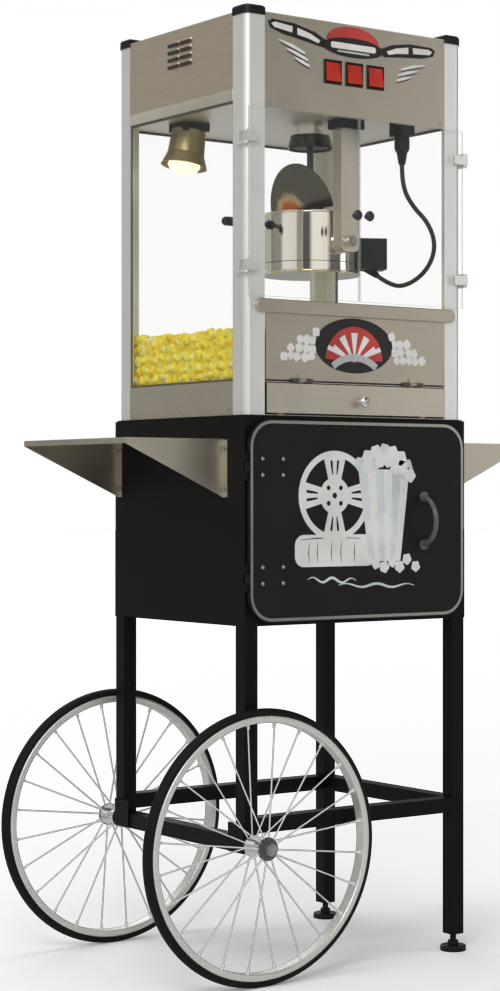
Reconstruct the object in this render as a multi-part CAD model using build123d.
"""Popcorn maker on a two-wheeled cart, in millimetres, +Z up, front face towards -Y.

The cart is a black cabinet on four square legs. Two spoked wheels carry the -X side and two levelling feet the
+X side. The glass popping case stands on the cart and holds a kettle that tips over a pivot on one hanger.
Every piece is placed from the cart's centre line and moved sideways only when it is written out, so that the
origin is under the middle of the whole machine.
"""

from build123d import *
from math import cos, radians, sin, sqrt, tan
import os

# Running gaps
running_gap = 0.05
moving_gap = 0.5
hinge_gap = 0.4
sheet = 1.2

# Cart cabinet
cart_width = 476.0
cart_depth = 404.0
cart_bottom_z = 591.0
cart_top_z = 941.0
cart_top_thickness = 2.0
cart_top_overhang = 1.0
cart_top_corner = 14.0
frame_side_margin = 33.0
frame_bottom_margin = 34.0
frame_top_margin = 31.0

# Legs and lower frame
leg_size = 25.4
leg_wall = 1.6
leg_plug_length = 22.0
foot_leg_bottom_z = 30.0
lower_rail_z = 260.0
bracket_thickness = 3.0
bracket_width = 44.0
bracket_height = 48.0

# Levelling feet
foot_radius = 22.5
foot_disc_height = 9.0
foot_neck_radius = 9.0
foot_neck_height = 8.0
foot_stem_radius = 5.0

# Wheels and axle
wheel_radius = 228.5
wheel_plane_y = 230.0
tyre_thickness = 11.0
tyre_width = 20.0
tyre_shoulder = 4.0
rim_thickness = 11.5
rim_width = 23.0
rim_edge_round = 3.0
axle_radius = 6.0
spoke_radius = 1.1
spoke_count = 24
spoke_sink = 2.0
hub_length = 50.0
hub_barrel_radius = 10.0
hub_flange_radius = 18.0
hub_flange_thickness = 3.0
hub_flange_inset = 3.0
hub_side_gap = 0.4
spacer_thickness = 1.8
spacer_radius = 11.0
axle_nut_across = 19.0
axle_nut_height = 8.0
axle_end_stub = 3.0
bushing_length = 30.0

# Cart door
door_left_margin = 4.0
door_right_margin = 10.0
door_bottom_z = 596.0
door_top_z = 934.0
door_corner = 45.0
door_thickness = 7.0
door_gap = 2.0
door_skin = 1.2
door_pull_x = 136.0
door_pull_z = 763.0
door_pull_span = 84.0
door_pull_rise = 36.0
door_pull_rod = 4.5
door_pull_foot = 8.5
door_pull_foot_height = 4.0
cart_hinge_barrel = 3.0
cart_hinge_pin = 1.5
cart_hinge_heights = (670.0, 855.0)
cart_hinge_length = 46.0
cart_hinge_leaf_width = 22.0

# Side shelves
shelf_reach = 192.0
shelf_top_z = 902.0
shelf_sheet = 1.6
shelf_front_y = -140.0
shelf_back_y = 193.0
shelf_gusset_height = 96.0
shelf_hem = 8.0
shelf_wall_flange = 13.0
shelf_bolt_head = 5.0
shelf_bolt_height = 3.0
shelf_bolt_inset = 14.0

# Popping case
case_width = 466.0
case_depth = 398.0
case_top_z = 1612.0
base_height = 57.0
post_size = 38.0
post_corner = 12.0
post_leg = 8.0
post_top_z = 1606.0
cap_height = 16.0
cap_rounding = 6.0
cap_overhang = 2.0
glass_thickness = 4.0
glass_inset = 4.0
ceiling_z = 1465.0
front_panel_bottom_z = 1454.0
chute_half_width = 130.0
chute_front_y = -150.0
chute_back_y = -126.0
louvre_width = 32.0
louvre_radius = 3.0
louvre_z = 1570.0
louvre_pitch_y = 38.0
louvre_pitch_z = 12.5
louvre_rows = 4

# Switches
switch_centre_x = -7.0
switch_pitch = 46.0
switch_z = 1527.0
rocker_width = 30.0
rocker_height = 33.0
rocker_depth = 12.0
rocker_side_gap = 0.4
rocker_end_gap = 1.2
rocker_tilt = 7.0
rocker_pivot_depth = 3.0
trunnion_radius = 1.5
bezel_wall = 1.2
bezel_flange = 1.6
bezel_proud = 2.0
bezel_depth = 11.0

# Kernel drawer
drawer_bottom_z = 945.2
drawer_top_z = 995.0
drawer_front_gap = 3.0
drawer_front_thickness = 1.8
drawer_tray_half = 170.0
drawer_tray_back_y = -20.0
drawer_tray_top_z = 985.0
drawer_runner_inset = 10.0
drawer_runner_width = 12.0
drawer_runner_gap = 0.4
drawer_runner_height = 4.0
knob_x = 7.0
knob_z = 967.0
knob_radius = 9.5
knob_stem = 4.0
knob_stand = 16.0

# Serving flap
flap_bottom_z = 1001.0
flap_top_z = 1135.0
flap_thickness = 3.0
flap_lip_half = 215.0
flap_lip_bottom_z = 1112.0
flap_lip_thickness = 6.0
flap_set_forward = 0.6
flap_hinge_x = (-120.0, 120.0)
flap_barrel = 2.8
flap_pin = 1.4
flap_knuckle = 14.0
flap_leaf_height = 11.0

# Front doors
glass_door_bottom_z = 1138.0
glass_door_top_z = 1452.0
glass_door_middle_gap = 1.0
glass_door_outer_x = 232.0
glass_door_hinge_x = 237.0
glass_door_hinge_z = (1188.0, 1401.0)
clamp_half_height = 8.0
clamp_wall = 2.5
clamp_reach = 20.0
door_pin_radius = 2.0
door_stand_off = 3.5
ear_thickness = 3.5
bracket_set_back = 9.0
bracket_depth = 12.0
door_knob_x = 13.0
door_knob_z = 1285.0
door_knob_radius = 9.0
door_knob_stand = 16.0

# Kettle
kettle_x = 40.0
kettle_y = -10.0
kettle_radius = 88.0
kettle_bottom_z = 1200.0
kettle_rim_z = 1309.0
pan_radius = 84.0
pan_wall = 2.0
pan_bottom_z = 1222.0
pan_top_drop = 2.0
heater_radius = 70.0
heater_thickness = 9.0
kettle_pivot_z = 1252.0
pivot_radius = 6.0
pivot_boss_radius = 18.0
bridge_half_width = 11.0
bridge_thickness = 3.0
lid_radius = 93.0
lid_sheet = 1.6
lid_hinge_offset = 14.5
lid_barrel = 2.6
lid_pin = 1.2
lid_lug_y = 63.5
lid_lug_width = 3.0
lid_sleeve_half = 60.0
lid_rise = 0.4
lid_open_angle = 74.0
dump_lip = 12.0
agitator_shaft = 5.0
agitator_top_z = 1366.0
agitator_hub = 10.0
agitator_hub_height = 12.0
agitator_arm = 72.0
agitator_arm_width = 8.0
agitator_arm_height = 6.0
dump_rod = 4.0
dump_handle_z = 1286.0
dump_knob_x = -143.0
dump_knob_radius = 8.0
dump_grip_length = 34.0

# Drive
drive_shaft_radius = 6.0
drive_gap = 2.0
motor_width = 100.0
motor_depth = 80.0
motor_gearbox_height = 50.0
motor_can_radius = 32.0
motor_can_height = 60.0
motor_bore_depth = 20.0
shaft_end_gap = 2.0
shaft_hole_gap = 2.0
bell_radius = 40.0
bell_height = 38.0
bell_wall = 2.0
bell_collar = 12.0
bell_collar_height = 12.0
slinger_radius = 32.0
slinger_height = 12.0

# Hanger
hanger_width = 40.0
hanger_depth = 24.0
hanger_wall = 2.5
hanger_bottom_z = 1234.0
hanger_clearance = 6.0
hanger_block_width = 52.0
hanger_block_depth = 38.0
hanger_block_height = 16.0
hanger_foot_height = 36.0
pivot_nut_radius = 10.0
pivot_nut_height = 8.0

# Kettle lead
connector_angle = -26.3
connector_length = 49.0
connector_width = 46.0
connector_bottom_z = 1213.0
connector_height = 55.0
gland_radius = 9.0
gland_tip_radius = 5.5
gland_length = 16.0
gland_sink = 10.0
cord_radius = 4.0
cord_gap = 0.3
cord_route = [
    (126.0, -165.0, 1389.0),
    (126.0, -165.0, 1352.0),
    (144.0, -172.0, 1317.0),
    (173.0, -181.0, 1289.0),
    (187.0, -185.0, 1250.0),
    (185.0, -169.0, 1212.0),
    (177.0, -132.0, 1186.0),
    (163.0, -94.0, 1180.0),
    (148.0, -67.0, 1203.0),
]
socket_size = 34.0
socket_height = 26.0
plug_radius = 13.0
plug_body_height = 30.0
plug_tip_radius = 5.5

# Heat lamp
lamp_x = -160.0
lamp_y = 80.0
lamp_pivot_z = 1455.0
lamp_lean = 10.0
lamp_top_radius = 30.0
lamp_body_radius = 33.0
lamp_flare_height = 22.0
lamp_mouth_radius = 41.0
lamp_mouth_z = 1388.0
lamp_wall = 1.5
lamp_bracket_size = 52.0
lamp_bracket_height = 14.0
bulb_radius = 29.0
bulb_neck_radius = 13.0
bulb_proud = 12.0

# Mains inlet
inlet_x = 120.0
inlet_z = 1540.0
inlet_width = 50.0
inlet_height = 28.0
inlet_depth = 9.0
inlet_recess_margin = 5.0
inlet_recess_depth = 7.0

# Values worked out from the driving sizes
axle_z = wheel_radius
leg_x = cart_width / 2 - sheet - leg_size / 2
leg_y = cart_depth / 2 - sheet - leg_size / 2
axle_x = -leg_x
cabinet_roof_z = cart_top_z - cart_top_thickness
beam_end_y = leg_y + leg_size / 2
hub_start_y = beam_end_y + spacer_thickness + hub_side_gap
hub_end_y = hub_start_y + hub_length
nut_start_y = hub_end_y + hub_side_gap
axle_end_y = nut_start_y + axle_nut_height + axle_end_stub
rim_outer = wheel_radius - tyre_thickness
rim_inner = rim_outer - rim_thickness
front_y = -case_depth / 2
side_x = case_width / 2
post_x = side_x - post_size
post_y = case_depth / 2 - post_size
base_top_z = cart_top_z + base_height
door_back_y = -cart_depth / 2 - door_gap
door_face_y = door_back_y - door_thickness
door_left_edge = door_left_margin - cart_width / 2
door_right_edge = cart_width / 2 - door_right_margin
cart_hinge_x = door_left_edge - cart_hinge_barrel - moving_gap
cart_hinge_y = door_face_y + cart_hinge_barrel
flap_face_y = front_y - flap_set_forward
flap_axis_y = flap_face_y - flap_barrel
bracket_front_y = front_y + bracket_set_back
bracket_back_y = bracket_front_y + bracket_depth
hanger_back_y = kettle_y - kettle_radius - hanger_clearance
glass_door_back_y = front_y - door_stand_off
glass_door_face_y = glass_door_back_y - glass_thickness
glass_door_pin_y = (glass_door_back_y + glass_door_face_y) / 2
lid_axis_z = kettle_rim_z + lid_barrel
drive_end_z = agitator_top_z + drive_gap
left_reach = wheel_radius - axle_x
right_reach = cart_width / 2 + shelf_reach
shift_x = (left_reach - right_reach) / 2


def block(x0, x1, y0, y1, z0, z1):
    """A box between two corners."""
    size = Box(abs(x1 - x0), abs(y1 - y0), abs(z1 - z0))
    return Pos((x0 + x1) / 2, (y0 + y1) / 2, (z0 + z1) / 2) * size


def rod_z(radius, x, y, z0, z1):
    return Pos(x, y, (z0 + z1) / 2) * Cylinder(radius, abs(z1 - z0))


def rod_y(radius, x, z, y0, y1):
    return Pos(x, (y0 + y1) / 2, z) * Rot(90, 0, 0) * Cylinder(radius, abs(y1 - y0))


def rod_x(radius, y, z, x0, x1):
    return Pos((x0 + x1) / 2, y, z) * Rot(0, 90, 0) * Cylinder(radius, abs(x1 - x0))


def rod_between(radius, start, end, end_radius=None):
    """A straight rod or cone from one point to another."""
    start = Vector(*start)
    run = Vector(*end) - start
    plane = Plane(origin=start + run / 2, z_dir=run)
    if end_radius is None:
        return plane * Cylinder(radius, run.length)
    return plane * Cone(radius, end_radius, run.length)


def turned(points, x, y):
    """A ring turned about a vertical axis from its half section of (radius, height) points."""
    outline = Polyline(*[(radius, height) for radius, height in points], close=True)
    return Pos(x, y, 0) * revolve(Plane.XZ * make_face(outline), Axis.Z)


def solids_of(*shapes):
    """All the solids of the given shapes, in one flat list."""
    return [solid for shape in shapes for solid in shape.solids()]


def mirrored_x(shape):
    return mirror(shape, about=Plane.YZ)


def corners():
    return [(sx, sy) for sx in (-1, 1) for sy in (-1, 1)]


# Cart frame

def cart_legs():
    legs = []
    for sx, sy in corners():
        bottom = axle_z + leg_size / 2 if sx < 0 else foot_leg_bottom_z
        x, y = sx * leg_x, sy * leg_y
        half = leg_size / 2
        bore = half - leg_wall
        leg = block(x - half, x + half, y - half, y + half, bottom, cabinet_roof_z)
        leg -= block(x - bore, x + bore, y - bore, y + bore, bottom + leg_plug_length, cabinet_roof_z)
        if sx > 0:
            leg -= rod_z(foot_stem_radius, x, y, bottom, bottom + leg_plug_length)
        legs.append(leg)
    return legs


def lower_rails():
    half = leg_size / 2
    z0, z1 = lower_rail_z - half, lower_rail_z + half
    rails = []
    for sy in (-1, 1):
        y = sy * leg_y
        rails.append(block(-leg_x + half, leg_x - half, y - half, y + half, z0, z1))
    rails.append(block(leg_x - half, leg_x + half, -leg_y + half, leg_y - half, z0, z1))
    return rails


def axle_beam():
    half = leg_size / 2
    bore = half - leg_wall
    beam = block(axle_x - half, axle_x + half, -beam_end_y, beam_end_y, axle_z - half, axle_z + half)
    beam -= block(axle_x - bore, axle_x + bore, -beam_end_y, beam_end_y, axle_z - bore, axle_z + bore)
    outer = axle_x - half
    for sy in (-1, 1):
        y_end = sy * beam_end_y
        plate_z = axle_z - half
        beam += block(
            outer - bracket_thickness, outer, y_end - sy * bracket_width, y_end, plate_z, plate_z + bracket_height
        )
    return [beam]


def axle():
    """The rod with its bushings in the beam's ends, a spacer and a nut on each side."""
    pieces = [rod_y(axle_radius, axle_x, axle_z, -axle_end_y, axle_end_y)]
    bore = leg_size / 2 - leg_wall
    for sy in (-1, 1):
        inner = beam_end_y - bushing_length
        bushing = block(axle_x - bore, axle_x + bore, sy * inner, sy * beam_end_y, axle_z - bore, axle_z + bore)
        pieces.append(bushing - rod_y(axle_radius, axle_x, axle_z, sy * inner, sy * beam_end_y))
        spacer = rod_y(spacer_radius, axle_x, axle_z, sy * beam_end_y, sy * (beam_end_y + spacer_thickness))
        pieces.append(spacer - rod_y(axle_radius, axle_x, axle_z, sy * inner, sy * axle_end_y))
        nut_plane = Plane(origin=(axle_x, sy * nut_start_y, axle_z), z_dir=(0, sy, 0))
        hexagon = nut_plane * RegularPolygon(axle_nut_across / sqrt(3), 6)
        nut = extrude(hexagon, axle_nut_height)
        pieces.append(nut - rod_y(axle_radius, axle_x, axle_z, sy * inner, sy * axle_end_y))
    return pieces


def leveling_feet():
    feet = []
    neck_top = foot_disc_height + foot_neck_height
    for sy in (-1, 1):
        x, y = leg_x, sy * leg_y
        foot = fillet(rod_z(foot_radius, x, y, 0, foot_disc_height).edges().group_by(Axis.Z)[-1], 2.5)
        foot += rod_z(foot_neck_radius, x, y, foot_disc_height, neck_top)
        foot += rod_z(foot_stem_radius, x, y, neck_top, foot_leg_bottom_z + leg_plug_length)
        feet.append(foot)
    return feet


# Wheels

def wheel_ring(outline, sy):
    """A ring about the axle, turned from a half section whose height is along the axle."""
    ring = revolve(Plane.XZ * make_face(outline), Axis.Z)
    return Pos(axle_x, sy * wheel_plane_y, axle_z) * Rot(90, 0, 0) * ring


def tyre(sy):
    half = tyre_width / 2
    shoulder = rim_outer + tyre_shoulder
    outline = Polyline((shoulder, half), (rim_outer, half), (rim_outer, -half), (shoulder, -half))
    outline += ThreePointArc((shoulder, -half), (wheel_radius, 0), (shoulder, half))
    return [wheel_ring(outline, sy)]


def rim(sy):
    middle = (rim_inner + rim_outer) / 2
    section = Pos(middle, 0) * RectangleRounded(rim_thickness, rim_width, rim_edge_round)
    ring = revolve(Plane.XZ * section, Axis.Z)
    return [Pos(axle_x, sy * wheel_plane_y, axle_z) * Rot(90, 0, 0) * ring]


def flange_y(side):
    """The middle of a hub flange along the axle: side 0 is next to the beam."""
    inset = hub_flange_inset + hub_flange_thickness / 2
    return hub_start_y + inset if side == 0 else hub_end_y - inset


def spokes(sy):
    pieces = []
    start_radius = hub_flange_radius - spoke_sink
    end_radius = rim_inner + spoke_sink
    for index in range(spoke_count):
        angle = radians((index + 0.5) * 360 / spoke_count)
        y_hub = sy * flange_y(index % 2)
        start = (axle_x + start_radius * cos(angle), y_hub, axle_z + start_radius * sin(angle))
        end = (axle_x + end_radius * cos(angle), sy * wheel_plane_y, axle_z + end_radius * sin(angle))
        pieces.append(rod_between(spoke_radius, start, end))
    return pieces


def hub(sy):
    body = rod_y(hub_barrel_radius, axle_x, axle_z, sy * hub_start_y, sy * hub_end_y)
    for side in (0, 1):
        middle = flange_y(side)
        half = hub_flange_thickness / 2
        body += rod_y(hub_flange_radius, axle_x, axle_z, sy * (middle - half), sy * (middle + half))
    body -= rod_y(axle_radius + running_gap, axle_x, axle_z, sy * hub_start_y, sy * hub_end_y)
    return [body]


# Cart cabinet

def cart_panels():
    """Top, left, right, rear and floor sheets."""
    half_x, half_y = cart_width / 2, cart_depth / 2
    plan = RectangleRounded(
        cart_width + 2 * cart_top_overhang, cart_depth + 2 * cart_top_overhang, cart_top_corner
    )
    top = extrude(Pos(0, 0, cabinet_roof_z) * plan, cart_top_thickness)
    left = block(-half_x, -half_x + sheet, -half_y, half_y, cart_bottom_z, cabinet_roof_z)
    right = block(half_x - sheet, half_x, -half_y, half_y, cart_bottom_z, cabinet_roof_z)
    rear = block(-half_x + sheet, half_x - sheet, half_y - sheet, half_y, cart_bottom_z, cabinet_roof_z)
    floor = block(
        -half_x + sheet, half_x - sheet, -half_y + sheet, half_y - sheet, cart_bottom_z, cart_bottom_z + sheet
    )
    half = leg_size / 2
    for sx, sy in corners():
        x, y = sx * leg_x, sy * leg_y
        floor -= block(x - half, x + half, y - half, y + half, cart_bottom_z, cart_bottom_z + sheet)
    return [top, left, right, rear, floor]


def cart_front_frame():
    half_x, front = cart_width / 2, -cart_depth / 2
    frame = block(-half_x + sheet, half_x - sheet, front, front + sheet, cart_bottom_z, cabinet_roof_z)
    opening = half_x - frame_side_margin
    frame -= block(
        -opening, opening, front, front + sheet, cart_bottom_z + frame_bottom_margin, cart_top_z - frame_top_margin
    )
    return [frame]


def cart_door():
    """A pressed tray with rounded corners, its flange towards the cabinet, and its hinge knuckles."""
    width, height = door_right_edge - door_left_edge, door_top_z - door_bottom_z
    middle = Plane(
        origin=((door_left_edge + door_right_edge) / 2, door_back_y, (door_bottom_z + door_top_z) / 2),
        x_dir=(1, 0, 0),
        z_dir=(0, -1, 0),
    )
    tray = extrude(middle * RectangleRounded(width, height, door_corner), door_thickness)
    inner = RectangleRounded(width - 2 * door_skin, height - 2 * door_skin, door_corner - door_skin)
    tray -= extrude(middle * inner, door_thickness - door_skin)
    knuckle_half = cart_hinge_length / 6
    for z in cart_hinge_heights:
        z0, z1 = z - knuckle_half, z + knuckle_half
        knuckle = rod_z(cart_hinge_barrel, cart_hinge_x, cart_hinge_y, z0, z1)
        knuckle += block(cart_hinge_x, door_left_edge, door_face_y, door_face_y + door_skin, z0, z1)
        knuckle -= rod_z(cart_hinge_pin + running_gap, cart_hinge_x, cart_hinge_y, z0, z1)
        tray += knuckle
    return [tray]


def cart_door_pull():
    """A round bar bent to an arc, standing on two feet on the door's face."""
    half = door_pull_span / 2
    low, high = door_pull_z - half, door_pull_z + half
    face = door_face_y
    arc = ThreePointArc(
        (door_pull_x, face, low), (door_pull_x, face - door_pull_rise, door_pull_z), (door_pull_x, face, high)
    )
    bar = sweep(Plane(origin=arc @ 0, z_dir=arc % 0) * Circle(door_pull_rod), path=arc)
    for z in (low, high):
        bar += rod_y(door_pull_foot, door_pull_x, z, face - door_pull_foot_height, face)
    room = door_pull_rise + 2 * door_pull_rod
    span = half + 2 * door_pull_foot
    bar &= block(door_pull_x - room, door_pull_x + room, face - room, face, door_pull_z - span, door_pull_z + span)
    return [bar]


def cart_hinges():
    """The fixed leaves with two knuckles each, and their pins."""
    front = -cart_depth / 2
    third = cart_hinge_length / 3
    outer_x = cart_hinge_x - cart_hinge_barrel
    pieces = []
    for z in cart_hinge_heights:
        z0, z1 = z - cart_hinge_length / 2, z + cart_hinge_length / 2
        leaf = block(outer_x, outer_x + cart_hinge_leaf_width, front - sheet, front, z0, z1)
        leaf += block(outer_x, outer_x + sheet, cart_hinge_y, front, z0, z1)
        leaf += rod_z(cart_hinge_barrel, cart_hinge_x, cart_hinge_y, z0, z1)
        leaf -= rod_z(cart_hinge_pin, cart_hinge_x, cart_hinge_y, z0, z1)
        gap = third / 2 + hinge_gap
        leaf -= block(
            outer_x - 1, door_left_edge, door_face_y - 1, front - sheet - moving_gap, z - gap, z + gap
        )
        pieces += [leaf, rod_z(cart_hinge_pin, cart_hinge_x, cart_hinge_y, z0, z1)]
    return pieces


# Side shelves

def shelf_gusset(y):
    wall, tip = cart_width / 2, cart_width / 2 + shelf_reach
    top = shelf_top_z - shelf_sheet
    outline = Polyline(
        (wall, top), (tip, top), (tip, top - shelf_hem), (wall, top - shelf_gusset_height), close=True
    )
    face = Plane(origin=(0, y, 0), x_dir=(1, 0, 0), z_dir=(0, -1, 0)) * make_face(outline)
    return extrude(face, -shelf_sheet)


def shelf_right_side():
    """Flat top with a hem along its tip, a triangular gusset at each end and a bolted wall flange in front of each."""
    wall, tip = cart_width / 2, cart_width / 2 + shelf_reach
    top = shelf_top_z - shelf_sheet
    shelf = block(wall, tip, shelf_front_y, shelf_back_y, top, shelf_top_z)
    shelf += block(tip - shelf_sheet, tip, shelf_front_y, shelf_back_y, top - shelf_hem, top)
    for y in (shelf_front_y, shelf_back_y - shelf_sheet):
        shelf += shelf_gusset(y)
        shelf += block(
            wall, wall + shelf_sheet, y - shelf_wall_flange, y + shelf_sheet, top - shelf_gusset_height, top
        )
    return shelf


def shelf_bolts():
    bolts = []
    wall = cart_width / 2 + shelf_sheet
    top = shelf_top_z - shelf_sheet
    for y in (shelf_front_y, shelf_back_y - shelf_sheet):
        for z in (top - shelf_bolt_inset, top - shelf_gusset_height + shelf_bolt_inset):
            bolt = rod_x(shelf_bolt_head, y - shelf_wall_flange / 2, z, wall, wall + shelf_bolt_height)
            bolts += [bolt, mirrored_x(bolt)]
    return bolts


# Popping case

def cross_plan(inset_x, inset_y):
    """The case's plan without its corner posts, drawn in from its outer faces."""
    plan = Rectangle(case_width - 2 * inset_x, 2 * post_y)
    plan += Rectangle(2 * post_x, case_depth - 2 * inset_y)
    return plan


def inner_plan(inset_x, inset_y):
    """The case's plan filled out to the inner faces of its corner posts."""
    return cross_plan(inset_x, inset_y) + Rectangle(case_width - 2 * post_leg, case_depth - 2 * post_leg)


def slab(plan, z0, z1):
    return extrude(Pos(0, 0, z0) * plan, z1 - z0)


def corner_section(sx, sy, near, far, corner, z0, z1):
    """A square section in a case corner, from near to far out of the post's inner edge, its outer edge rounded."""
    section = block(sx * (post_x + near), sx * (post_x + far), sy * (post_y + near), sy * (post_y + far), z0, z1)
    uprights = section.edges().filter_by(Axis.Z)
    outer = uprights.sort_by(lambda edge: sx * edge.center().X + sy * edge.center().Y)[-1]
    return fillet(outer, corner)


def corner_posts():
    """Angle posts, open to the inside, whose two legs meet in a rounded corner."""
    posts = []
    for sx, sy in corners():
        post = corner_section(sx, sy, 0, post_size, post_corner, cart_top_z, post_top_z)
        post -= block(
            sx * post_x, sx * (side_x - post_leg), sy * post_y, sy * (case_depth / 2 - post_leg), cart_top_z, post_top_z
        )
        posts.append(post)
    return posts


def post_caps():
    caps = []
    for sx, sy in corners():
        size, corner = post_size + cap_overhang, post_corner + cap_overhang
        cap = corner_section(sx, sy, 0, size, corner, post_top_z, post_top_z + cap_height)
        caps.append(fillet(cap.edges().group_by(Axis.Z)[-1], cap_rounding))
    return caps


def base_housing():
    """Bottom, two side walls, rear wall and the drawer's runners, open to the front."""
    z0, z1 = cart_top_z, base_top_z
    base = slab(inner_plan(0, 0), z0, z0 + sheet)
    for sx in (-1, 1):
        base += block(sx * (side_x - sheet), sx * side_x, -post_y, post_y, z0, z1)
        runner = drawer_tray_half - drawer_runner_inset
        base += block(
            sx * (runner - drawer_runner_width),
            sx * runner,
            front_y + drawer_runner_inset,
            drawer_tray_back_y,
            z0 + sheet,
            z0 + sheet + drawer_runner_height,
        )
    base += block(-post_x, post_x, case_depth / 2 - sheet, case_depth / 2, z0, z1)
    return [base]


def chamber_floor():
    """The popping chamber's floor, with one chute over the drawer."""
    plan = inner_plan(sheet, 0)
    floor = slab(plan, base_top_z - sheet, base_top_z)
    floor -= block(-post_x, post_x, case_depth / 2 - sheet, case_depth / 2, base_top_z - sheet, base_top_z)
    floor -= block(-chute_half_width, chute_half_width, chute_front_y, chute_back_y, base_top_z - sheet, base_top_z)
    return [floor]


def glass_panels():
    inner = side_x - glass_inset
    rear = case_depth / 2 - glass_inset
    left = block(-inner, -inner + glass_thickness, -post_y, post_y, base_top_z, ceiling_z)
    right = mirrored_x(left)
    back = block(-post_x, post_x, rear - glass_thickness, rear, base_top_z, ceiling_z)
    return [left, right, back]


def louvres():
    """Half-round hoods pressed out of the head's left side."""
    hoods = []
    for column in (-0.5, 0.5):
        for row in range(louvre_rows):
            y = column * louvre_pitch_y
            z = louvre_z + (row - (louvre_rows - 1) / 2) * louvre_pitch_z
            hood = rod_y(louvre_radius, -side_x, z, y - louvre_width / 2, y + louvre_width / 2)
            keep = block(
                -side_x - louvre_radius, -side_x, y - louvre_width, y + louvre_width, z, z + louvre_radius
            )
            hoods.append(hood & keep)
    return hoods


def head_panels():
    """Left, right, rear and top sheets of the head, and the ceiling over the popping chamber."""
    roof = case_top_z - sheet
    left = block(-side_x, -side_x + sheet, -post_y, post_y, ceiling_z, roof)
    right = mirrored_x(left)
    for hood in louvres():
        left += hood
    rear = block(-post_x, post_x, case_depth / 2 - sheet, case_depth / 2, ceiling_z, roof)
    top = slab(cross_plan(0, 0), roof, case_top_z)
    ceiling = slab(inner_plan(sheet, sheet), ceiling_z, ceiling_z + sheet)
    ceiling -= rod_z(drive_shaft_radius + shaft_hole_gap, kettle_x, kettle_y, ceiling_z, ceiling_z + sheet)
    return [left, right, rear, top, ceiling]


def switch_x(index):
    return switch_centre_x + (index - 1) * switch_pitch


def sleeve_size():
    """The outer width and height of a switch's sleeve, which the panel's cut-out takes."""
    width = rocker_width + 2 * (rocker_side_gap + bezel_wall)
    height = rocker_height + 2 * (rocker_end_gap + bezel_wall)
    return width, height


def centred_block(x, z, width, height, y0, y1):
    return block(x - width / 2, x + width / 2, y0, y1, z - height / 2, z + height / 2)


def head_front_panel():
    panel = block(-post_x, post_x, front_y, front_y + sheet, front_panel_bottom_z, case_top_z - sheet)
    width, height = sleeve_size()
    for index in range(3):
        panel -= centred_block(switch_x(index), switch_z, width, height, front_y, front_y + sheet)
    return [panel]


def switch_bezels():
    bezels = []
    width, height = sleeve_size()
    hole_width = width - 2 * bezel_wall
    hole_height = height - 2 * bezel_wall
    face, back = front_y - bezel_proud, front_y + bezel_depth
    for index in range(3):
        x = switch_x(index)
        bezel = centred_block(x, switch_z, width + 2 * bezel_flange, height + 2 * bezel_flange, face, front_y)
        bezel += centred_block(x, switch_z, width, height, front_y, back)
        bezel -= centred_block(x, switch_z, hole_width, hole_height, face, back)
        pivot_y = front_y + rocker_pivot_depth
        bezel -= rod_x(trunnion_radius + running_gap, pivot_y, switch_z, x - width / 2, x + width / 2)
        bezels.append(bezel)
    return bezels


def rocker(index):
    """A rocker on two short trunnions, at rest with its upper end pressed in."""
    width, _ = sleeve_size()
    arm = width / 2 - rocker_side_gap
    body = Box(rocker_width, rocker_depth, rocker_height)
    body = fillet(body.edges().filter_by(Axis.X), 1.2)
    body += Rot(0, 90, 0) * Cylinder(trunnion_radius, 2 * arm)
    return [Pos(switch_x(index), front_y + rocker_pivot_depth, switch_z) * Rot(-rocker_tilt, 0, 0) * body]


# Drawer and serving flap

def kernel_drawer():
    half = post_x - drawer_front_gap
    back = front_y - moving_gap
    drawer = block(-half, half, back - drawer_front_thickness, back, drawer_bottom_z, drawer_top_z)
    tray_z = cart_top_z + sheet + drawer_runner_height + drawer_runner_gap
    tray = block(-drawer_tray_half, drawer_tray_half, back, drawer_tray_back_y, tray_z, drawer_tray_top_z)
    tray -= block(
        -drawer_tray_half + sheet,
        drawer_tray_half - sheet,
        back,
        drawer_tray_back_y - sheet,
        tray_z + sheet,
        drawer_tray_top_z,
    )
    return [drawer + tray]


def round_knob(x, z, face, stem, radius, stand):
    """A turned knob on a short stem, standing forward of a face."""
    plane = Plane(origin=(x, face, z), z_dir=(0, -1, 0))
    middle = stand - radius * 0.6
    body = plane * Pos(0, 0, stand / 2) * Cylinder(stem, stand)
    body += plane * Pos(0, 0, middle) * scale(Sphere(radius), by=(1, 1, 0.6))
    return body


def drawer_knob():
    face = front_y - moving_gap - drawer_front_thickness
    return [round_knob(knob_x, knob_z, face, knob_stem, knob_radius, knob_stand)]


def flap_knuckles(x):
    """Start and end of the fixed, moving and fixed knuckles of one flap hinge."""
    half = flap_knuckle / 2
    low = (x - half - hinge_gap - flap_knuckle, x - half - hinge_gap)
    high = (x + half + hinge_gap, x + half + hinge_gap + flap_knuckle)
    return low, (x - half, x + half), high


def serving_flap():
    """A flat panel with a thick rounded lip along its top and a knuckle on each hinge."""
    half = post_x - moving_gap * 4
    back = flap_face_y + flap_thickness
    flap = block(-half, half, flap_face_y, back, flap_bottom_z, flap_top_z)
    middle_z = (flap_lip_bottom_z + flap_top_z) / 2
    height = flap_top_z - flap_lip_bottom_z
    plane = Plane(origin=(0, flap_face_y, middle_z), x_dir=(1, 0, 0), z_dir=(0, -1, 0))
    lip = extrude(plane * SlotOverall(2 * flap_lip_half, height), flap_lip_thickness)
    flap += fillet(lip.edges().group_by(Axis.Y)[0], 2.0)
    for x in flap_hinge_x:
        x0, x1 = flap_knuckles(x)[1]
        knuckle = rod_x(flap_barrel, flap_axis_y, flap_bottom_z, x0, x1)
        knuckle += block(x0, x1, flap_axis_y, flap_face_y, flap_bottom_z, flap_bottom_z + flap_leaf_height)
        flap += knuckle - rod_x(flap_pin + running_gap, flap_axis_y, flap_bottom_z, x0, x1)
    return [flap]


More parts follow.
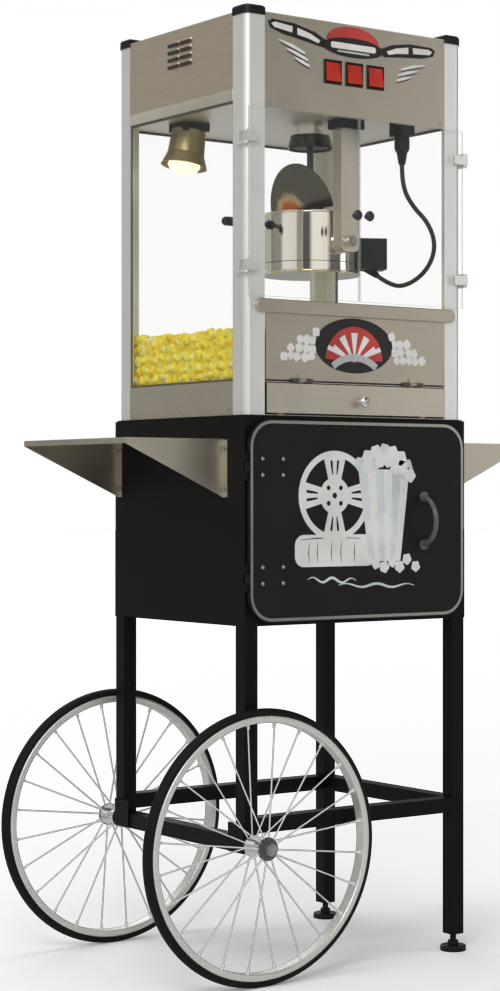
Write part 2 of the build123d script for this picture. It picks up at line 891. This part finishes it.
def flap_hinges():
    """Fixed knuckles on the floor's front edge, and the pins."""
    pieces = []
    low_z = base_top_z - sheet - hinge_gap
    for x in flap_hinge_x:
        low, _, high = flap_knuckles(x)
        for x0, x1 in (low, high):
            knuckle = rod_x(flap_barrel, flap_axis_y, flap_bottom_z, x0, x1)
            knuckle += block(x0, x1, flap_axis_y, front_y, low_z, flap_bottom_z - hinge_gap)
            pieces.append(knuckle - rod_x(flap_pin, flap_axis_y, flap_bottom_z, x0, x1))
        pieces.append(rod_x(flap_pin, flap_axis_y, flap_bottom_z, low[0], high[1]))
    return pieces


# Front doors, modelled on the right and mirrored for the left

def glass_door():
    return block(
        glass_door_middle_gap,
        glass_door_outer_x,
        glass_door_face_y,
        glass_door_back_y,
        glass_door_bottom_z,
        glass_door_top_z,
    )


def door_fittings():
    """Two hinge clamps over the glass edge, and the knob."""
    pieces = []
    for z in glass_door_hinge_z:
        z0, z1 = z - clamp_half_height, z + clamp_half_height
        clamp = block(
            glass_door_outer_x - clamp_reach,
            glass_door_hinge_x + 2 * door_pin_radius,
            glass_door_face_y - clamp_wall,
            glass_door_back_y + clamp_wall,
            z0,
            z1,
        )
        clamp -= glass_door()
        clamp -= rod_z(door_pin_radius + running_gap, glass_door_hinge_x, glass_door_pin_y, z0, z1)
        pieces.append(clamp)
    pieces.append(
        round_knob(door_knob_x, door_knob_z, glass_door_face_y, knob_stem, door_knob_radius, door_knob_stand)
    )
    return pieces


def door_bracket(z):
    """Two round-ended ears over and under a clamp, on a web that seats on the corner post, with the pin."""
    inner = clamp_half_height + moving_gap
    outer = inner + ear_thickness
    outer_x = glass_door_hinge_x + 2 * door_pin_radius
    bracket = block(post_x + post_size / 2, outer_x, bracket_front_y, bracket_back_y, z - outer, z + outer)
    for z0, z1 in ((z - outer, z - inner), (z + inner, z + outer)):
        bracket += block(glass_door_outer_x + moving_gap, outer_x, glass_door_back_y, bracket_front_y, z0, z1)
        bracket += rod_z(2 * door_pin_radius, glass_door_hinge_x, glass_door_pin_y, z0, z1)
    bracket -= corner_section(1, -1, 0, post_size, post_corner, z - outer, z + outer)
    bracket += rod_z(door_pin_radius, glass_door_hinge_x, glass_door_pin_y, z - outer, z + outer)
    return bracket


def door_hinge_brackets():
    brackets = []
    for z in glass_door_hinge_z:
        bracket = door_bracket(z)
        brackets += [bracket, mirrored_x(bracket)]
    return brackets


# Kettle works

def kettle_shell():
    """The outer can, with the pivot stud and its boss on the front."""
    shell = rod_z(kettle_radius, kettle_x, kettle_y, kettle_bottom_z, kettle_rim_z)
    shell -= rod_z(pan_radius, kettle_x, kettle_y, kettle_bottom_z + sheet, kettle_rim_z)
    boss_front = hanger_back_y + moving_gap
    boss = rod_y(pivot_boss_radius, kettle_x, kettle_pivot_z, boss_front, kettle_y - pan_radius)
    stud_end = hanger_back_y - hanger_depth - pivot_nut_height
    stud = rod_y(pivot_radius, kettle_x, kettle_pivot_z, stud_end, kettle_y - pan_radius)
    nut_start = hanger_back_y - hanger_depth - moving_gap
    nut = rod_y(pivot_nut_radius, kettle_x, kettle_pivot_z, stud_end, nut_start)
    inner = rod_z(pan_radius, kettle_x, kettle_y, kettle_bottom_z + sheet, kettle_rim_z)
    return [shell + (boss + stud + nut - inner)]


def kettle_pan():
    top = kettle_rim_z - pan_top_drop
    pan = rod_z(pan_radius, kettle_x, kettle_y, pan_bottom_z, top)
    pan -= rod_z(pan_radius - pan_wall, kettle_x, kettle_y, pan_bottom_z + pan_wall, top)
    return [pan]


def heater_plate():
    return [rod_z(heater_radius, kettle_x, kettle_y, pan_bottom_z - heater_thickness, pan_bottom_z)]


def lid_bridge():
    """The bar across the kettle, with lugs and a pin for each lid flap."""
    top = kettle_rim_z + bridge_thickness
    bar = block(
        kettle_x - bridge_half_width,
        kettle_x + bridge_half_width,
        kettle_y - kettle_radius,
        kettle_y + kettle_radius,
        kettle_rim_z,
        top,
    )
    bar -= rod_z(agitator_shaft + running_gap, kettle_x, kettle_y, kettle_rim_z, top)
    lug_end = lid_lug_y + lid_lug_width / 2
    for sx in (-1, 1):
        axis_x = kettle_x + sx * lid_hinge_offset
        for sy in (-1, 1):
            y = kettle_y + sy * lid_lug_y
            half = lid_lug_width / 2
            far_x = axis_x + sx * lid_barrel
            near_x = kettle_x + sx * (bridge_half_width - 2)
            bar += block(near_x, far_x, y - half, y + half, kettle_rim_z, lid_axis_z + lid_barrel)
        bar += rod_y(lid_pin, axis_x, lid_axis_z, kettle_y - lug_end, kettle_y + lug_end)
    return [bar]


def lid_flap(sx, opened):
    """One lid flap, its straight edge rolled round the bridge's pin, opened by an angle from closed.

    The flap on the dumping side reaches further out, as a lip.
    """
    axis_x = kettle_x + sx * lid_hinge_offset
    z0 = kettle_rim_z + lid_rise
    lip = dump_lip if sx < 0 else 0
    disc = rod_z(lid_radius, kettle_x + sx * lip, kettle_y, z0, z0 + lid_sheet)
    edge_x = axis_x + sx * (lid_pin + running_gap)
    far = kettle_x + sx * (lid_radius + lip + 1)
    flap = disc & block(edge_x, far, kettle_y - lid_radius, kettle_y + lid_radius, z0, z0 + lid_sheet)
    for sy in (-1, 1):
        y0 = kettle_y + sy * (lid_lug_y - lid_lug_width / 2 - hinge_gap)
        y1 = kettle_y + sy * lid_radius
        clear_x = axis_x + sx * (lid_barrel * sqrt(2) + hinge_gap)
        flap -= block(axis_x, clear_x, y0, y1, z0 - 1, z0 + lid_sheet + 1)
    y0, y1 = kettle_y - lid_sleeve_half, kettle_y + lid_sleeve_half
    flap += rod_y(lid_barrel, axis_x, lid_axis_z, y0, y1)
    flap -= rod_y(lid_pin + running_gap, axis_x, lid_axis_z, y0, y1)
    hinge = Axis((axis_x, kettle_y, lid_axis_z), (0, -sx, 0))
    return [flap.rotate(hinge, opened)]


def agitator():
    bottom = pan_bottom_z + pan_wall + moving_gap
    shaft = rod_z(agitator_shaft, kettle_x, kettle_y, bottom, agitator_top_z)
    shaft += rod_z(agitator_hub, kettle_x, kettle_y, bottom, bottom + agitator_hub_height)
    half = agitator_arm_width / 2
    for swing in (0, 90):
        reach = agitator_arm if swing == 0 else agitator_arm * 0.7
        arm = Pos(0, 0, bottom + agitator_arm_height / 2) * Box(2 * reach, 2 * half, agitator_arm_height)
        shaft += Pos(kettle_x, kettle_y, 0) * Rot(0, 0, swing) * arm
    return [shaft]


def dump_handle():
    rod = rod_x(dump_rod, kettle_y, dump_handle_z, dump_knob_x, kettle_x)
    rod += rod_x(2 * dump_rod, kettle_y, dump_handle_z, kettle_x - kettle_radius - dump_rod, kettle_x)
    rod += rod_x(dump_knob_radius, kettle_y, dump_handle_z, dump_knob_x, dump_knob_x + dump_grip_length)
    rod += Pos(dump_knob_x, kettle_y, dump_handle_z) * Sphere(dump_knob_radius)
    return [rod - rod_z(kettle_radius, kettle_x, kettle_y, kettle_bottom_z, kettle_rim_z)]


def gland_direction():
    """The direction in which the lead leaves the connector."""
    end, before = Vector(*cord_route[-1]), Vector(*cord_route[-2])
    return (before - end).normalized()


def kettle_connector():
    """A box plugged on the kettle's side, with a tapered gland under it."""
    top = connector_bottom_z + connector_height
    overlap = kettle_radius - pan_radius
    length = connector_length + overlap
    body = Pos(pan_radius + length / 2, 0, (connector_bottom_z + top) / 2)
    body = body * Box(length, connector_width, connector_height)
    body = fillet(body.edges().filter_by(Axis.Z).sort_by(Axis.X)[-2:], 5)
    body = Pos(kettle_x, kettle_y, 0) * Rot(0, 0, connector_angle) * body
    tip = Vector(*cord_route[-1])
    root_point = tip - gland_direction() * (gland_length + gland_sink)
    gland = rod_between(gland_radius, tuple(root_point), tuple(tip), gland_tip_radius)
    return [body + gland - rod_z(kettle_radius, kettle_x, kettle_y, kettle_bottom_z, kettle_rim_z)]


def kettle_cord():
    """The lead, from the plug's end to just short of the connector's gland."""
    points = [Vector(*point) for point in cord_route]
    points[-1] = points[-1] + gland_direction() * cord_gap
    radii = []
    for before, corner, after in zip(points, points[1:], points[2:]):
        turn = (corner - before).get_angle(after - corner)
        shorter = min((corner - before).length, (after - corner).length)
        radii.append(0.45 * shorter / tan(radians(turn / 2)))
    path = FilletPolyline(*points, radius=radii)
    cord = sweep(Plane(origin=path @ 0, z_dir=path % 0) * Circle(cord_radius), path=path)
    print("cord radii", [round(radius, 1) for radius in radii])
    print("cord length", round(path.length, 1), "section length", round(cord.volume / Circle(cord_radius).area, 1))
    return [cord]


def ceiling_fittings():
    """The lead's socket, the hanger's clamp block and the lamp's bracket, all black and under the ceiling."""
    x, y, _ = cord_route[0]
    half = socket_size / 2
    socket = block(x - half, x + half, y - half, y + half, ceiling_z - socket_height, ceiling_z)
    socket = fillet(socket.edges().filter_by(Axis.Z), 4)
    middle_y = hanger_back_y - hanger_depth / 2
    width, depth = hanger_block_width / 2, hanger_block_depth / 2
    clamp = block(
        kettle_x - width,
        kettle_x + width,
        middle_y - depth,
        middle_y + depth,
        ceiling_z - hanger_block_height,
        ceiling_z,
    )
    half = lamp_bracket_size / 2
    bracket = block(
        lamp_x - half, lamp_x + half, lamp_y - half, lamp_y + half, ceiling_z - lamp_bracket_height, ceiling_z
    )
    bracket -= lamp_place() * turned(lamp_outline() + [(0, lamp_mouth_z - lamp_pivot_z)], 0, 0)
    return [socket, clamp, bracket]


def kettle_plug():
    x, y, bottom = cord_route[0]
    top = ceiling_z - socket_height
    waist = top - plug_body_height
    outline = [(0, top), (plug_radius, top), (plug_radius, waist + 6), (plug_radius - 4, waist)]
    outline += [(plug_tip_radius, bottom), (0, bottom)]
    return [turned(outline, x, y)]


def gear_motor():
    floor = ceiling_z + sheet
    gearbox = block(
        kettle_x - motor_width / 2,
        kettle_x + motor_width / 2,
        kettle_y - motor_depth / 2,
        kettle_y + motor_depth / 2,
        floor,
        floor + motor_gearbox_height,
    )
    roof = floor + motor_gearbox_height
    motor = gearbox + rod_z(motor_can_radius, kettle_x, kettle_y, roof, roof + motor_can_height)
    return [motor - rod_z(drive_shaft_radius + running_gap, kettle_x, kettle_y, floor, floor + motor_bore_depth)]


def drive_shaft():
    top = ceiling_z + sheet + motor_bore_depth - shaft_end_gap
    shaft = rod_z(drive_shaft_radius, kettle_x, kettle_y, drive_end_z, top)
    slot = block(
        kettle_x - drive_shaft_radius,
        kettle_x + drive_shaft_radius,
        kettle_y - 1,
        kettle_y + 1,
        drive_end_z,
        drive_end_z + drive_shaft_radius,
    )
    bottom = ceiling_z - bell_height + 3
    slinger = rod_z(slinger_radius, kettle_x, kettle_y, bottom, bottom + slinger_height)
    return [shaft - slot + slinger]


def shaft_bell():
    """A bell round the shaft under the ceiling, over the slinger disc that throws steam off the shaft."""
    bottom = ceiling_z - bell_height
    hole = drive_shaft_radius + shaft_hole_gap
    outline = [
        (hole, ceiling_z),
        (bell_radius - 8, ceiling_z),
        (bell_radius, bottom + 3),
        (bell_radius, bottom),
        (bell_radius - bell_wall, bottom),
        (bell_radius - bell_wall - 1, bottom + 3),
        (bell_radius - 8 - bell_wall, ceiling_z - bell_wall),
        (bell_collar, ceiling_z - bell_wall),
        (bell_collar, ceiling_z - bell_collar_height),
        (hole, ceiling_z - bell_collar_height),
    ]
    return [turned(outline, kettle_x, kettle_y)]


def kettle_hanger():
    """A square tube with a solid foot for the pivot bore, hung from the clamp block under the ceiling."""
    half = hanger_width / 2
    front = hanger_back_y - hanger_depth
    x0, x1 = kettle_x - half, kettle_x + half
    block_z = ceiling_z - hanger_block_height
    hanger = block(x0, x1, front, hanger_back_y, hanger_bottom_z, block_z)
    hanger -= block(
        x0 + hanger_wall,
        x1 - hanger_wall,
        front + hanger_wall,
        hanger_back_y - hanger_wall,
        hanger_bottom_z + hanger_foot_height,
        block_z,
    )
    hanger = fillet(hanger.edges().filter_by(Axis.Y).group_by(Axis.Z)[0], 12)
    hanger -= rod_y(pivot_radius + running_gap, kettle_x, kettle_pivot_z, front, hanger_back_y)
    return [hanger]


def lamp_place():
    """Where the lamp hangs: its own axis leans sideways about a point inside its bracket."""
    return Pos(lamp_x, lamp_y, lamp_pivot_z) * Rot(0, lamp_lean, 0)


def lamp_outline():
    """The shade's outer outline from its closed top down to its mouth, measured from the lamp's pivot point."""
    mouth = lamp_mouth_z - lamp_pivot_z
    return [
        (0, 0),
        (lamp_top_radius - 4, 0),
        (lamp_top_radius, -4),
        (lamp_body_radius, mouth + lamp_flare_height),
        (lamp_mouth_radius, mouth),
    ]


def lamp_shade():
    outer = lamp_outline()
    inner = [(max(radius - lamp_wall, 0), z - (0 if radius == lamp_mouth_radius else lamp_wall)) for radius, z in outer]
    return [lamp_place() * turned(outer + inner[::-1], 0, 0)]


def lamp_bulb():
    """A reflector bulb, its face standing a little out of the shade's mouth."""
    mouth = lamp_mouth_z - lamp_pivot_z
    outline = [
        (0, mouth - bulb_proud),
        (bulb_radius * 0.5, mouth - bulb_proud + 1.5),
        (bulb_radius * 0.85, mouth - bulb_proud + 6),
        (bulb_radius, mouth - bulb_proud + 13),
        (bulb_radius - 2, mouth + 10),
        (bulb_neck_radius, mouth + 36),
        (bulb_neck_radius, -lamp_wall),
        (0, -lamp_wall),
    ]
    return [lamp_place() * turned(outline, 0, 0)]


def mains_inlet():
    """An appliance inlet on the head's rear panel."""
    rear = case_depth / 2
    inlet = centred_block(inlet_x, inlet_z, inlet_width, inlet_height, rear, rear + inlet_depth)
    recess_width = inlet_width - 2 * inlet_recess_margin
    recess_height = inlet_height - 2 * inlet_recess_margin
    face = rear + inlet_depth
    inlet -= centred_block(inlet_x, inlet_z, recess_width, recess_height, face - inlet_recess_depth, face)
    return [inlet]


def build():
    shelf = shelf_right_side()
    door, fittings = glass_door(), door_fittings()
    nodes = {
        "cart_legs": cart_legs(),
        "lower_rails": lower_rails(),
        "axle_beam": axle_beam(),
        "axle": axle(),
        "leveling_feet": leveling_feet(),
        "cart_panels": cart_panels(),
        "cart_front_frame": cart_front_frame(),
        "cart_hinges": cart_hinges(),
        "cart_door": cart_door(),
        "cart_door_pull": cart_door_pull(),
        "shelf_left": [mirrored_x(shelf)],
        "shelf_right": [shelf],
        "shelf_bolts": shelf_bolts(),
        "corner_posts": corner_posts(),
        "post_caps": post_caps(),
        "base_housing": base_housing(),
        "chamber_floor": chamber_floor(),
        "glass_panels": glass_panels(),
        "head_front_panel": head_front_panel(),
        "head_panels": head_panels(),
        "switch_bezels": switch_bezels(),
        "kernel_drawer": kernel_drawer(),
        "drawer_knob": drawer_knob(),
        "serving_flap": serving_flap(),
        "flap_hinges": flap_hinges(),
        "door_right_glass": [door],
        "door_right_fittings": fittings,
        "door_left_glass": [mirrored_x(door)],
        "door_left_fittings": [mirrored_x(piece) for piece in fittings],
        "door_hinge_brackets": door_hinge_brackets(),
        "kettle_shell": kettle_shell(),
        "kettle_pan": kettle_pan(),
        "heater_plate": heater_plate(),
        "lid_bridge": lid_bridge(),
        "lid_flap_left": lid_flap(-1, lid_open_angle),
        "lid_flap_right": lid_flap(1, 0),
        "agitator": agitator(),
        "dump_handle": dump_handle(),
        "kettle_connector": kettle_connector(),
        "kettle_cord": kettle_cord(),
        "kettle_plug": kettle_plug(),
        "ceiling_fittings": ceiling_fittings(),
        "gear_motor": gear_motor(),
        "drive_shaft": drive_shaft(),
        "shaft_bell": shaft_bell(),
        "kettle_hanger": kettle_hanger(),
        "lamp_shade": lamp_shade(),
        "lamp_bulb": lamp_bulb(),
        "mains_inlet": mains_inlet(),
    }
    for name, sy in (("front", -1), ("rear", 1)):
        nodes["tyre_" + name] = tyre(sy)
        nodes["rim_" + name] = rim(sy)
        nodes["spokes_" + name] = spokes(sy)
        nodes["hub_" + name] = hub(sy)
    for index, name in enumerate(("switch_left", "switch_middle", "switch_right")):
        nodes[name] = rocker(index)
    return nodes


def write(nodes):
    os.makedirs("parts", exist_ok=True)
    for name, shapes in nodes.items():
        solids = [Pos(shift_x, 0, 0) * solid for solid in solids_of(*shapes)]
        export_step(solids[0] if len(solids) == 1 else Compound(solids), "parts/" + name + ".step")
    print("sideways shift", shift_x, "nodes", len(nodes))


write(build())
